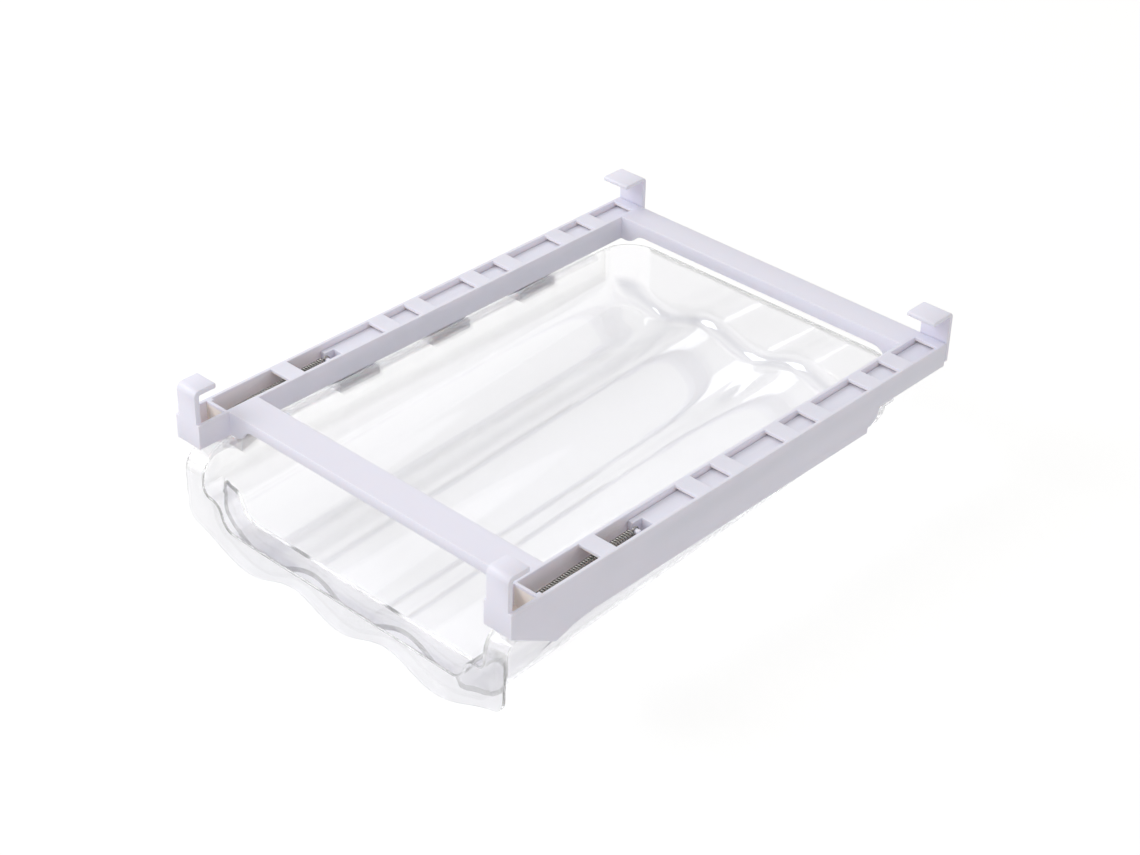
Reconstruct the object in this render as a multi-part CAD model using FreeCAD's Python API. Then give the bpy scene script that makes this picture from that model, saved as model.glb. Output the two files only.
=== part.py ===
import FreeCAD, Part
import math
import os

# Pull-out drawer that hangs under a refrigerator shelf, in millimetres.
# A white frame of two channel rails and two crossbars carries a clear drawer on guide
# ledges. Two fixed hooks grip the shelf's front edge. Two sprung sliders, one in each
# rail, carry the rear hooks and close them on the shelf's rear edge.
# +X is to the right of a person who faces the drawer, +Y runs back, +Z is up.
# While modelling, Y is counted from the rails' front faces and Z from their top plane.
# The stored origin is the middle of the front crossbar's top face.

Vector = FreeCAD.Vector

# Frame: rails
FRAME_WIDTH = 205.0
RAIL_LENGTH = 290.0
RAIL_WIDTH = 15.6
RAIL_DEPTH = 12.3
RAIL_WALL = 1.8
RAIL_FLOOR = 1.8
FRONT_WALL = 2.6
POCKET_LENGTH = 13.2
PARTITION_THICKNESS = 1.6
CORNER_RIB = 1.6

# Frame: bridges across each channel, in pairs, and the strip at the rear end
BRIDGE_THICKNESS = 1.75
BRIDGE_LENGTH = 9.5
BRIDGE_FIRST_GAP = 35.9
BRIDGE_PAIR_PITCH = 59.8
BRIDGE_PAIR_SPACING = 22.8
REAR_WINDOW = 16.5
REAR_STRIP = 5.8

# Frame: crossbars, moulded as downward channels with flared ends
FRONT_BAR_SETBACK = 17.0
FRONT_BAR_WIDTH = 17.2
FRONT_BAR_DEPTH = 5.4
REAR_BAR_WIDTH = 15.4
REAR_BAR_DEPTH = 6.9
BAR_WALL = 2.0
BAR_FLARE_LAND = 2.9
BAR_FLARE_RUN = 12.2

# Frame: guide ledges and the skirt that carries them
GUIDE_REACH = 9.8
GUIDE_THICKNESS = 4.0
GUIDE_LENGTH = 25.0
GUIDE_PITCH = 59.6
GUIDE_FIRST = 26.2
NOSE_DROP = 4.4
NOSE_BLEND = 24.8
SKIRT_REAR_SETBACK = 49.8
SKIRT_END_RADIUS = 7.8

# Hooks
HOOK_GAP = 14.0
FRONT_HOOK_WIDTH = 12.3
FRONT_HOOK_OFFSET = 1.9
FRONT_HOOK_THICKNESS = 2.6
FRONT_HOOK_REACH = 12.0
REAR_HOOK_THICKNESS = 2.1
REAR_HOOK_REACH = 15.0
REAR_HOOK_LIP = 1.2
HOOK_BEND_CLEAR = 0.6

# Sliders
SLIDE_CLEARANCE = 0.3
SLIDER_HEIGHT = 7.1
SLIDER_WALL = 1.8
SLIDER_FRONT = 79.8
SLIDER_ARM_SETBACK = 3.1
NOTCH_LENGTH = 5.6
NOTCH_INNER_ARM = 2.7
NOTCH_OUTER_ARM = 2.4
SPRING_BAR_RADIUS = 1.3
SPRING_BAR_LENGTH = 4.2

# Springs
SPRING_DIAMETER = 4.2
SPRING_WIRE = 0.6
ANCHOR_RADIUS = 1.2
ANCHOR_HEIGHT = 4.7
ANCHOR_SETBACK = 3.2
SPRING_FRONT_LIFT = 2.9

# Drawer: fit in the frame
RIM_CLEARANCE = 1.5
FLANGE_DROP = 3.2
FLANGE_CLEARANCE = 0.3
FLANGE_SIDE_CLEARANCE = 2.1
TRAY_SIDE_CLEARANCE = 2.8
DRAWER_REAR_SETBACK = 9.2

# Drawer: tray, sill, apron and flanges
DRAWER_WALL = 2.0
FLANGE_THICKNESS = 1.7
FLANGE_REAR_SETBACK = 22.5
FLANGE_BEND_RADIUS = 11.0
RIM_NOSE_RADIUS = 14.0
TRAY_DEPTH = 44.8
FLOOR_TILT = 3.05
LANE_PITCH = 58.4
LANE_WAVE = 3.4
BOTTOM_CORNER_RADIUS = 13.4
REAR_CORNER_RADIUS = 18.0
REAR_FLOOR_RADIUS = 7.7
SILL_DEPTH = 13.8
SILL_RISE = 10.8
SHOULDER_RISE = 12.0
SHOULDER_RUN = 15.0
APRON_DROP = 2.6
APRON_WAVE = 3.8
APRON_OUTER_RISE = 11.2
APRON_OUTER_RUN = 40.0
APRON_CORNER_RADIUS = 9.0

# How close to upright the tray's round corners run before they meet its walls, in degrees
UPRIGHT_LIMIT = 80.0
PROFILE_STEPS = 72
ARC_STEPS = 8

# Places that follow from the sizes above
RAIL_OUTER = FRAME_WIDTH / 2
RAIL_INNER = RAIL_OUTER - RAIL_WIDTH
CHANNEL_OUTER = RAIL_OUTER - RAIL_WALL
CHANNEL_INNER = RAIL_INNER + RAIL_WALL
CHANNEL_MIDDLE = (CHANNEL_INNER + CHANNEL_OUTER) / 2
CHANNEL_FLOOR = RAIL_FLOOR - RAIL_DEPTH
PARTITION_FRONT = FRONT_WALL + POCKET_LENGTH
PARTITION_REAR = PARTITION_FRONT + PARTITION_THICKNESS
SLIDER_INNER = CHANNEL_INNER + SLIDE_CLEARANCE
SLIDER_OUTER = CHANNEL_OUTER - SLIDE_CLEARANCE
SLIDER_BOTTOM = CHANNEL_FLOOR + SLIDE_CLEARANCE
SLIDER_TOP = SLIDER_BOTTOM + SLIDER_HEIGHT
SLIDER_REAR = RAIL_LENGTH + SLIDE_CLEARANCE
ARM_FRONT = SLIDER_FRONT + SLIDER_ARM_SETBACK
NOTCH_REAR = ARM_FRONT + NOTCH_LENGTH
NOTCH_INNER = SLIDER_INNER + NOTCH_INNER_ARM
NOTCH_OUTER = SLIDER_OUTER - NOTCH_OUTER_ARM
SPRING_BAR_Y = SLIDER_FRONT + SPRING_BAR_RADIUS
SPRING_BAR_Z = SLIDER_TOP - SPRING_BAR_RADIUS
ANCHOR_Y = PARTITION_REAR + ANCHOR_SETBACK
SPRING_FRONT_Z = CHANNEL_FLOOR + SPRING_FRONT_LIFT

RIM_Z = -RAIL_DEPTH - RIM_CLEARANCE
FLANGE_TOP = RIM_Z - FLANGE_DROP
FLANGE_BOTTOM = FLANGE_TOP - FLANGE_THICKNESS
GUIDE_TOP = FLANGE_BOTTOM - FLANGE_CLEARANCE
SKIRT_BOTTOM = GUIDE_TOP - GUIDE_THICKNESS
GUIDE_INNER = CHANNEL_OUTER - GUIDE_REACH
TRAY_OUTER = GUIDE_INNER - TRAY_SIDE_CLEARANCE
TRAY_INNER = TRAY_OUTER - DRAWER_WALL
FLANGE_OUTER = CHANNEL_OUTER - FLANGE_SIDE_CLEARANCE
TRAY_REAR = RAIL_LENGTH - DRAWER_REAR_SETBACK
FLOOR_LEVEL = RIM_Z - TRAY_DEPTH
SILL_TOP = FLOOR_LEVEL + SILL_RISE
SHOULDER_TOP = SILL_TOP + SHOULDER_RISE
APRON_TOP = FLANGE_TOP - FLANGE_BEND_RADIUS
APRON_LEVEL = FLOOR_LEVEL - APRON_DROP
ORIGIN_Y = FRONT_BAR_SETBACK + FRONT_BAR_WIDTH / 2
FAR = FRAME_WIDTH + RAIL_LENGTH


def block(low_x, high_x, low_y, high_y, low_z, high_z):
    """A box between two corners."""
    return Part.makeBox(high_x - low_x, high_y - low_y, high_z - low_z, Vector(low_x, low_y, low_z))


def mirrored(shape):
    """The other side's copy of a piece, turned over the middle plane X = 0."""
    return shape.mirror(Vector(0, 0, 0), Vector(1, 0, 0))


def straight(start, end):
    return Part.LineSegment(start, end).toShape()


def arc_about(centre, start, end):
    """The shorter arc from start to end about a centre."""
    radius = (start - centre).Length
    outward = (start - centre) + (end - centre)
    outward.normalize()
    return Part.Arc(start, centre + outward * radius, end).toShape()


def smooth(points):
    """A smooth curve through a list of points."""
    curve = Part.BSplineCurve()
    curve.interpolate(points)
    return curve


def prism(edges, run):
    """The closed outline made by some edges, carried along a vector."""
    return Part.Face(Part.Wire(edges)).extrude(run)


def s_curve(start, end, outward):
    """Two equal arcs, level at both ends, that climb from start to end in an XZ plane."""
    run = end.x - start.x
    rise = end.z - start.z
    radius = (run * run + rise * rise) / (4 * abs(rise))
    side = math.copysign(radius, rise)
    middle = (start + end) * 0.5
    lower_centre = start + Vector(0, 0, side)
    upper_centre = end - Vector(0, 0, side)
    first = arc_about(lower_centre, start, middle)
    second = arc_about(upper_centre, middle, end)
    if outward:
        return [first, second]
    return [second, first]


def export(node, shape):
    """Writes one piece, moved so that the front crossbar's top face holds the origin."""
    placed = shape.copy()
    placed.translate(Vector(0, -ORIGIN_Y, 0))
    placed.exportStep("parts/" + node + ".step")


# ---- frame ---------------------------------------------------------------------------

def rail():
    """A channel open at the top and rear, with a front pocket behind its front wall."""
    body = block(RAIL_INNER, RAIL_OUTER, 0, RAIL_LENGTH, -RAIL_DEPTH, 0)
    pocket = block(CHANNEL_INNER, CHANNEL_OUTER, FRONT_WALL, PARTITION_FRONT, CHANNEL_FLOOR, FAR)
    channel = block(CHANNEL_INNER, CHANNEL_OUTER, PARTITION_REAR, FAR, CHANNEL_FLOOR, FAR)
    rib = block(CHANNEL_OUTER - CORNER_RIB, CHANNEL_OUTER, PARTITION_REAR,
                PARTITION_REAR + CORNER_RIB, CHANNEL_FLOOR, 0)
    return body.cut(pocket).cut(channel).fuse(rib).removeSplitter()


def bridge(front, length):
    return block(CHANNEL_INNER, CHANNEL_OUTER, front, front + length, -BRIDGE_THICKNESS, 0)


def bridges():
    """Flush bridges in pairs, the first pair with its front one only, and the rear strip."""
    last_rear = RAIL_LENGTH - REAR_STRIP - REAR_WINDOW
    pieces = [bridge(RAIL_LENGTH - REAR_STRIP, REAR_STRIP)]
    first = PARTITION_REAR + BRIDGE_FIRST_GAP
    pieces.append(bridge(first, BRIDGE_LENGTH))
    front = first + BRIDGE_PAIR_PITCH
    while front + BRIDGE_LENGTH <= last_rear:
        pieces.append(bridge(front, BRIDGE_LENGTH))
        follower = front + BRIDGE_PAIR_SPACING
        if follower + BRIDGE_LENGTH <= last_rear:
            pieces.append(bridge(follower, BRIDGE_LENGTH))
        front += BRIDGE_PAIR_PITCH
    return Part.makeCompound(pieces)


def skirt_section(low_x, high_x):
    """The skirt's side outline: a nose at the first guide ledge and a round rear end."""
    nose = Vector(low_x, GUIDE_FIRST, SKIRT_BOTTOM - NOSE_DROP)
    level = Vector(low_x, GUIDE_FIRST + NOSE_BLEND, SKIRT_BOTTOM)
    blend_radius = (NOSE_BLEND ** 2 + NOSE_DROP ** 2) / (2 * NOSE_DROP)
    rear = RAIL_LENGTH - SKIRT_REAR_SETBACK
    step = Vector(low_x, rear - SKIRT_END_RADIUS, SKIRT_BOTTOM)
    round_low = Vector(low_x, rear - SKIRT_END_RADIUS, -RAIL_DEPTH - SKIRT_END_RADIUS)
    round_high = Vector(low_x, rear, -RAIL_DEPTH)
    front = Vector(low_x, 0, -RAIL_DEPTH)
    round_centre = Vector(low_x, rear - SKIRT_END_RADIUS, -RAIL_DEPTH)
    edges = [
        straight(front, nose),
        arc_about(level - Vector(0, 0, blend_radius), nose, level),
        straight(level, step),
        straight(step, round_low),
        arc_about(round_centre, round_low, round_high),
        straight(round_high, front),
    ]
    return prism(edges, Vector(high_x - low_x, 0, 0))


def skirt():
    return skirt_section(CHANNEL_OUTER, RAIL_OUTER)


def guides():
    """Ledges inside the skirt. The first follows the nose, and all end flush with the skirt."""
    outline = skirt_section(GUIDE_INNER, CHANNEL_OUTER)
    pieces = []
    front = GUIDE_FIRST
    while front + GUIDE_LENGTH < RAIL_LENGTH - SKIRT_REAR_SETBACK - SKIRT_END_RADIUS:
        slab = block(GUIDE_INNER, CHANNEL_OUTER, front, front + GUIDE_LENGTH,
                     SKIRT_BOTTOM - NOSE_DROP, GUIDE_TOP)
        pieces.append(slab.common(outline))
        front += GUIDE_PITCH
    return Part.makeCompound(pieces)


def crossbar_web(front, depth):
    """One upright wall of a crossbar, which swells to the rails' depth at both ends."""
    flare_outer = RAIL_INNER - BAR_FLARE_LAND
    flare_inner = flare_outer - BAR_FLARE_RUN
    top_left = Vector(-RAIL_INNER, front, 0)
    top_right = Vector(RAIL_INNER, front, 0)
    end_right = Vector(RAIL_INNER, front, -RAIL_DEPTH)
    land_right = Vector(flare_outer, front, -RAIL_DEPTH)
    thin_right = Vector(flare_inner, front, -depth)
    thin_left = Vector(-flare_inner, front, -depth)
    land_left = Vector(-flare_outer, front, -RAIL_DEPTH)
    end_left = Vector(-RAIL_INNER, front, -RAIL_DEPTH)
    edges = [straight(top_left, top_right), straight(top_right, end_right)]
    edges += [straight(end_right, land_right)]
    edges += s_curve(thin_right, land_right, False)
    edges += [straight(thin_right, thin_left)]
    edges += s_curve(thin_left, land_left, True)
    edges += [straight(land_left, end_left), straight(end_left, top_left)]
    return prism(edges, Vector(0, BAR_WALL, 0))


def crossbar(front, width, depth):
    plate = block(-RAIL_INNER, RAIL_INNER, front, front + width, -BAR_WALL, 0)
    webs = crossbar_web(front, depth).fuse(crossbar_web(front + width - BAR_WALL, depth))
    return plate.fuse(webs).removeSplitter()


def hook(low_x, width, heel_y, thickness, reach, foot_z, lip):
    """A bent hook. Its plate stands at heel_y and its tab reaches by a signed length."""
    way = math.copysign(1.0, reach)
    top = HOOK_GAP + thickness
    inner_bend = HOOK_BEND_CLEAR
    outer_bend = thickness + inner_bend
    face = heel_y + way * thickness
    bend = heel_y + way * outer_bend
    tip = heel_y + reach
    centre = Vector(low_x, bend, top - outer_bend)
    foot_back = Vector(low_x, heel_y, foot_z)
    bend_low = Vector(low_x, heel_y, top - outer_bend)
    bend_high = Vector(low_x, bend, top)
    tip_high = Vector(low_x, tip - way * lip, top)
    tip_round = Vector(low_x, tip, top - lip)
    tip_low = Vector(low_x, tip, HOOK_GAP)
    crook_high = Vector(low_x, bend, HOOK_GAP)
    crook_low = Vector(low_x, face, top - outer_bend)
    foot_face = Vector(low_x, face, foot_z)
    edges = [
        straight(foot_back, bend_low),
        arc_about(centre, bend_low, bend_high),
        straight(bend_high, tip_high),
        arc_about(Vector(low_x, tip - way * lip, top - lip), tip_high, tip_round),
        straight(tip_round, tip_low),
        straight(tip_low, crook_high),
        arc_about(centre, crook_high, crook_low),
        straight(crook_low, foot_face),
        straight(foot_face, foot_back),
    ]
    return prism(edges, Vector(width, 0, 0))


def front_hook():
    """Stands on the rail's front wall and reaches back over the shelf."""
    low_x = RAIL_OUTER - FRONT_HOOK_OFFSET - FRONT_HOOK_WIDTH
    return hook(low_x, FRONT_HOOK_WIDTH, 0, FRONT_HOOK_THICKNESS, FRONT_HOOK_REACH, 0,
                FRONT_HOOK_THICKNESS / 4)


def spring_anchor():
    """A post on the channel floor that holds the spring's front loop."""
    return Part.makeCylinder(ANCHOR_RADIUS, ANCHOR_HEIGHT,
                             Vector(CHANNEL_MIDDLE, ANCHOR_Y, CHANNEL_FLOOR))


def spring():
    """An extension spring's envelope: a rod of the coil's size with a loop at each end."""
    loop = (SPRING_DIAMETER - SPRING_WIRE) / 2
    front = Vector(CHANNEL_MIDDLE, ANCHOR_Y, SPRING_FRONT_Z)
    rear = Vector(CHANNEL_MIDDLE, SPRING_BAR_Y, SPRING_BAR_Z)
    way = rear - front
    coil_length = way.Length - 2 * loop
    way.normalize()
    coil = Part.makeCylinder(SPRING_DIAMETER / 2, coil_length, front + way * loop, way)
    front_loop = Part.makeTorus(loop, SPRING_WIRE / 2, front, Vector(0, 0, 1))
    rear_loop = Part.makeTorus(loop, SPRING_WIRE / 2, rear, Vector(1, 0, 0))
    return coil.fuse(front_loop).fuse(rear_loop)


# ---- sliders -------------------------------------------------------------------------

def slider():
    """A hollow bar in the channel. Its notched front end leaves room for the spring's loop."""
    bar = block(SLIDER_INNER, SLIDER_OUTER, SLIDER_FRONT, SLIDER_REAR, SLIDER_BOTTOM, SLIDER_TOP)
    hollow = block(SLIDER_INNER + SLIDER_WALL, SLIDER_OUTER - SLIDER_WALL,
                   NOTCH_REAR + SLIDER_WALL, SLIDER_REAR - SLIDER_WALL,
                   -FAR, SLIDER_TOP - SLIDER_WALL)
    short_arm = block(-FAR, NOTCH_INNER, -FAR, ARM_FRONT, -FAR, FAR)
    notch = block(NOTCH_INNER, NOTCH_OUTER, -FAR, NOTCH_REAR, -FAR, FAR)
    return bar.cut(hollow).cut(short_arm).cut(notch)


def spring_bar():
    """A round bar that reaches in from the slider's longer arm to carry the spring."""
    return Part.makeCylinder(SPRING_BAR_RADIUS, SPRING_BAR_LENGTH,
                             Vector(NOTCH_OUTER, SPRING_BAR_Y, SPRING_BAR_Z), Vector(-1, 0, 0))


def rear_hook():
    """Stands behind the rail on the slider's end and reaches forward over the shelf."""
    return hook(RAIL_INNER, RAIL_WIDTH, SLIDER_REAR + REAR_HOOK_THICKNESS, REAR_HOOK_THICKNESS,
                -REAR_HOOK_REACH, SLIDER_BOTTOM, REAR_HOOK_LIP)


# ---- drawer --------------------------------------------------------------------------

def lane_height(x):
    """The floor's waves: a valley along the middle and one on each side of it."""
    return -LANE_WAVE * math.cos(2 * math.pi * x / LANE_PITCH)


def lane_slope(x):
    return LANE_WAVE * 2 * math.pi / LANE_PITCH * math.sin(2 * math.pi * x / LANE_PITCH)


def corner_start_lean():
    """The angle at which the round bottom corner leaves the waves without a kink."""
    lean = 0.0
    for _ in range(30):
        x = TRAY_INNER - BOTTOM_CORNER_RADIUS * (1 - math.sin(lean))
        lean = math.atan(lane_slope(x))
    return lean


def cross_profile(offset):
    """The tray's section across the lanes: waves, round corners and steep ends.

    The offset moves it outward, for the outer surface. Z is 0 at the waves' middle level.
    """
    lean = corner_start_lean()
    centre_x = TRAY_INNER - BOTTOM_CORNER_RADIUS
    start_x = centre_x + BOTTOM_CORNER_RADIUS * math.sin(lean)
    centre_z = lane_height(start_x) + BOTTOM_CORNER_RADIUS * math.cos(lean)
    radius = BOTTOM_CORNER_RADIUS + offset
    limit = math.radians(UPRIGHT_LIMIT)
    half = []
    for step in range(1, PROFILE_STEPS + 1):
        x = start_x * step / PROFILE_STEPS
        tilt = math.atan(lane_slope(x))
        half.append(Vector(x + offset * math.sin(tilt), 0, lane_height(x) - offset * math.cos(tilt)))
    for step in range(1, ARC_STEPS + 1):
        angle = lean + (limit - lean) * step / ARC_STEPS
        half.append(Vector(centre_x + radius * math.sin(angle), 0,
                           centre_z - radius * math.cos(angle)))
    last = half[-1]
    for step in range(1, ARC_STEPS + 1):
        climb = radius * step / ARC_STEPS
        half.append(last + Vector(climb / math.tan(limit), 0, climb))
    other = [Vector(-point.x, 0, point.z) for point in reversed(half)]
    return smooth(other + [Vector(0, 0, lane_height(0) - offset)] + half)


def length_profile(front, offset):
    """The tray's section along a lane: a tilted floor, a round rear corner and a steep end."""
    tilt = math.radians(FLOOR_TILT)
    radius = REAR_FLOOR_RADIUS + offset
    limit = math.radians(UPRIGHT_LIMIT)
    centre_y = TRAY_REAR - DRAWER_WALL - REAR_FLOOR_RADIUS
    start_y = centre_y + radius * math.sin(tilt)
    start_z = FLOOR_LEVEL + math.tan(tilt) * (start_y - SILL_DEPTH)
    centre_z = start_z + radius * math.cos(tilt)
    points = []
    for step in range(ARC_STEPS):
        y = front + (start_y - front) * step / ARC_STEPS
        points.append(Vector(0, y, FLOOR_LEVEL + math.tan(tilt) * (y - SILL_DEPTH)))
    for step in range(ARC_STEPS + 1):
        angle = tilt + (limit - tilt) * step / ARC_STEPS
        points.append(Vector(0, centre_y + radius * math.sin(angle),
                             centre_z - radius * math.cos(angle)))
    last = points[-1]
    for step in range(1, ARC_STEPS + 1):
        climb = radius * step / ARC_STEPS
        points.append(last + Vector(0, climb / math.tan(limit), climb))
    return smooth(points)


def above_floor(front, offset):
    """All the space above the tray's floor and round lower corners.

    The floor is the sum of the two sections, so every lane keeps the same rear corner.
    """
    across = cross_profile(offset)
    along = length_profile(front, offset)
    poles = [[a + b for b in along.getPoles()] for a in across.getPoles()]
    surface = Part.BSplineSurface()
    surface.buildFromPolesMultsKnots(
        poles, across.getMultiplicities(), along.getMultiplicities(),
        across.getKnots(), along.getKnots(), False, False, across.Degree, along.Degree)
    return surface.toShape().extrude(Vector(0, 0, TRAY_DEPTH * 2))


def plan_prism(half_width, front, rear, corner):
    """A tall prism with round rear corners, as high as the rim."""
    low = 2 * (FLOOR_LEVEL - RIM_Z) + RIM_Z
    front_left = Vector(-half_width, front, low)
    front_right = Vector(half_width, front, low)
    side_right = Vector(half_width, rear - corner, low)
    rear_right = Vector(half_width - corner, rear, low)
    rear_left = Vector(corner - half_width, rear, low)
    side_left = Vector(-half_width, rear - corner, low)
    edges = [
        straight(front_left, front_right),
        straight(front_right, side_right),
        arc_about(Vector(half_width - corner, rear - corner, low), side_right, rear_right),
        straight(rear_right, rear_left),
        arc_about(Vector(corner - half_width, rear - corner, low), rear_left, side_left),
        straight(side_left, front_left),
    ]
    return prism(edges, Vector(0, 0, RIM_Z - low))


def sill_edges(front, drop):
    """The front opening's lower outline: a level sill with an S-curve up to each shoulder."""
    inner = TRAY_INNER - SHOULDER_RUN
    left_high = Vector(-TRAY_INNER, front, SHOULDER_TOP - drop)
    left_low = Vector(-inner, front, SILL_TOP - drop)
    right_low = Vector(inner, front, SILL_TOP - drop)
    right_high = Vector(TRAY_INNER, front, SHOULDER_TOP - drop)
    left = s_curve(left_high, left_low, True)
    right = s_curve(right_low, right_high, True)
    return left_high, right_high, left + [straight(left_low, right_low)] + right


def front_opening():
    """The space above the sill, cut out of the tray's front wall."""
    left, right, edges = sill_edges(DRAWER_WALL, DRAWER_WALL)
    high_left = Vector(left.x, left.y, 0)
    high_right = Vector(right.x, right.y, 0)
    edges += [straight(right, high_right), straight(high_right, high_left)]
    edges += [straight(high_left, left)]
    return prism(edges, Vector(0, SILL_DEPTH - DRAWER_WALL, 0))


def side_nose(low_x):
    """The side wall's front end, from the shoulder up, with its round upper corner."""
    low = SHOULDER_TOP - DRAWER_WALL
    rear = SILL_DEPTH
    radius = RIM_NOSE_RADIUS
    corner_y = DRAWER_WALL + radius
    foot_front = Vector(low_x, DRAWER_WALL, low)
    curve_low = Vector(low_x, DRAWER_WALL, RIM_Z - radius)
    curve_high = Vector(low_x, corner_y, RIM_Z)
    rim_rear = Vector(low_x, corner_y + rear, RIM_Z)
    foot_rear = Vector(low_x, corner_y + rear, low)
    edges = [
        straight(foot_front, curve_low),
        arc_about(Vector(low_x, corner_y, RIM_Z - radius), curve_low, curve_high),
        straight(curve_high, rim_rear),
        straight(rim_rear, foot_rear),
        straight(foot_rear, foot_front),
    ]
    return prism(edges, Vector(DRAWER_WALL, 0, 0))


def nose_cut(low_x):
    """What the round nose leaves off the side wall's upper front corner."""
    reach = DRAWER_WALL + RIM_NOSE_RADIUS
    corner = block(low_x, low_x + DRAWER_WALL, -FAR, reach, RIM_Z - RIM_NOSE_RADIUS, FAR)
    round_end = Part.makeCylinder(RIM_NOSE_RADIUS, DRAWER_WALL,
                                  Vector(low_x, reach, RIM_Z - RIM_NOSE_RADIUS), Vector(1, 0, 0))
    return corner.cut(round_end)


def tray():
    """The drawer's open shell: waved floor, side walls, rear wall and low front wall."""
    front = SILL_DEPTH - DRAWER_WALL
    outside = above_floor(front, DRAWER_WALL).common(
        plan_prism(TRAY_OUTER, front, TRAY_REAR, REAR_CORNER_RADIUS + DRAWER_WALL))
    inside = above_floor(SILL_DEPTH, 0).common(
        plan_prism(TRAY_INNER, SILL_DEPTH, TRAY_REAR - DRAWER_WALL, REAR_CORNER_RADIUS))
    shell = outside.cut(inside).cut(front_opening())
    for low_x in (-TRAY_OUTER, TRAY_INNER):
        shell = shell.fuse(side_nose(low_x)).cut(nose_cut(low_x))
    return shell.removeSplitter()


def front_sill():
    """The level step behind the apron, with its two shoulders."""
    left, right, upper = sill_edges(DRAWER_WALL, 0)
    low_left, low_right, lower = sill_edges(DRAWER_WALL, DRAWER_WALL)
    edges = upper + [straight(right, low_right)] + lower + [straight(low_left, left)]
    outline = Part.Wire(Part.__sortEdges__(edges))
    return Part.Face(outline).extrude(Vector(0, SILL_DEPTH - DRAWER_WALL, 0))


def apron_edge_height(x):
    """The apron's lower edge: the lanes' waves, then a long rise to each outer corner."""
    distance = abs(x)
    if distance <= LANE_PITCH:
        return APRON_LEVEL - APRON_WAVE * math.cos(2 * math.pi * distance / LANE_PITCH)
    share = min((distance - LANE_PITCH) / APRON_OUTER_RUN, 1.0)
    return APRON_LEVEL - APRON_WAVE + APRON_OUTER_RISE / 2 * (1 - math.cos(math.pi * share))


def apron():
    """The pull: a plate below the sill, with an ear on each side up to the flange."""
    corner_x = FLANGE_OUTER - APRON_CORNER_RADIUS
    corner_z = apron_edge_height(corner_x)
    left_high, right_high, top = sill_edges(0, 0)
    ear_right_inner = Vector(TRAY_INNER, 0, APRON_TOP)
    ear_right_outer = Vector(FLANGE_OUTER, 0, APRON_TOP)
    ear_left_inner = Vector(-TRAY_INNER, 0, APRON_TOP)
    ear_left_outer = Vector(-FLANGE_OUTER, 0, APRON_TOP)
    turn_right = Vector(FLANGE_OUTER, 0, corner_z + APRON_CORNER_RADIUS)
    turn_left = Vector(-FLANGE_OUTER, 0, corner_z + APRON_CORNER_RADIUS)
    low_right = Vector(corner_x, 0, corner_z)
    low_left = Vector(-corner_x, 0, corner_z)
    lift = Vector(0, 0, APRON_CORNER_RADIUS)
    points = []
    for step in range(PROFILE_STEPS + 1):
        x = corner_x * (1 - 2 * step / PROFILE_STEPS)
        points.append(Vector(x, 0, apron_edge_height(x)))
    edges = top + [
        straight(right_high, ear_right_inner),
        straight(ear_right_inner, ear_right_outer),
        straight(ear_right_outer, turn_right),
        arc_about(low_right + lift, turn_right, low_right),
        smooth(points).toShape(),
        arc_about(low_left + lift, low_left, turn_left),
        straight(turn_left, ear_left_outer),
        straight(ear_left_outer, ear_left_inner),
        straight(ear_left_inner, left_high),
    ]
    return prism(edges, Vector(0, DRAWER_WALL, 0))


def flange():
    """The runner outside the side wall, which bends down in front to meet the apron's ear."""
    radius = FLANGE_BEND_RADIUS
    inner_radius = radius - FLANGE_THICKNESS
    rear = TRAY_REAR - FLANGE_REAR_SETBACK
    centre = Vector(TRAY_OUTER, radius, APRON_TOP)
    ear_front = Vector(TRAY_OUTER, 0, APRON_TOP)
    top_front = Vector(TRAY_OUTER, radius, FLANGE_TOP)
    top_rear = Vector(TRAY_OUTER, rear, FLANGE_TOP)
    low_rear = Vector(TRAY_OUTER, rear, FLANGE_BOTTOM)
    low_front = Vector(TRAY_OUTER, radius, FLANGE_BOTTOM)
    ear_rear = Vector(TRAY_OUTER, radius - inner_radius, APRON_TOP)
    edges = [
        arc_about(centre, ear_front, top_front),
        straight(top_front, top_rear),
        straight(top_rear, low_rear),
        straight(low_rear, low_front),
        arc_about(centre, low_front, ear_rear),
        straight(ear_rear, ear_front),
    ]
    return prism(edges, Vector(FLANGE_OUTER - TRAY_OUTER, 0, 0))


def both_sides(name, shape):
    """Writes a piece of the right side and its mirror image on the left."""
    export("right_" + name, shape)
    export("left_" + name, mirrored(shape))


def same_on_left(name, shape):
    """Writes a piece of the right side and the same piece, not mirrored, on the left."""
    copy = shape.copy()
    copy.translate(Vector(-2 * CHANNEL_MIDDLE, 0, 0))
    export("right_" + name, shape)
    export("left_" + name, copy)


os.makedirs("parts", exist_ok=True)
both_sides("rail", rail())
both_sides("rail_bridges", bridges())
both_sides("skirt", skirt())
both_sides("guide_ledges", guides())
both_sides("front_hook", front_hook())
both_sides("spring_anchor", spring_anchor())
both_sides("spring", spring())
export("front_crossbar", crossbar(FRONT_BAR_SETBACK, FRONT_BAR_WIDTH, FRONT_BAR_DEPTH))
export("rear_crossbar", crossbar(RAIL_LENGTH - REAR_BAR_WIDTH, REAR_BAR_WIDTH, REAR_BAR_DEPTH))
same_on_left("slider", slider())
same_on_left("spring_bar", spring_bar())
same_on_left("rear_hook", rear_hook())
export("drawer_tray", tray())
export("drawer_front_sill", front_sill())
export("drawer_apron", apron())
export("drawer_right_flange", flange())
export("drawer_left_flange", mirrored(flange()))
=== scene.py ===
"""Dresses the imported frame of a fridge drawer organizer: clear drawer, white frame, wire springs.

The file is laid out as an add-on: settings, one operator for each piece, a panel and a main
function. Lengths are in metres in the row frame: X to the right, Y back along the rails and Z up,
with Z = 0 on the frame's top plane.
"""

import math
from contextlib import contextmanager

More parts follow.
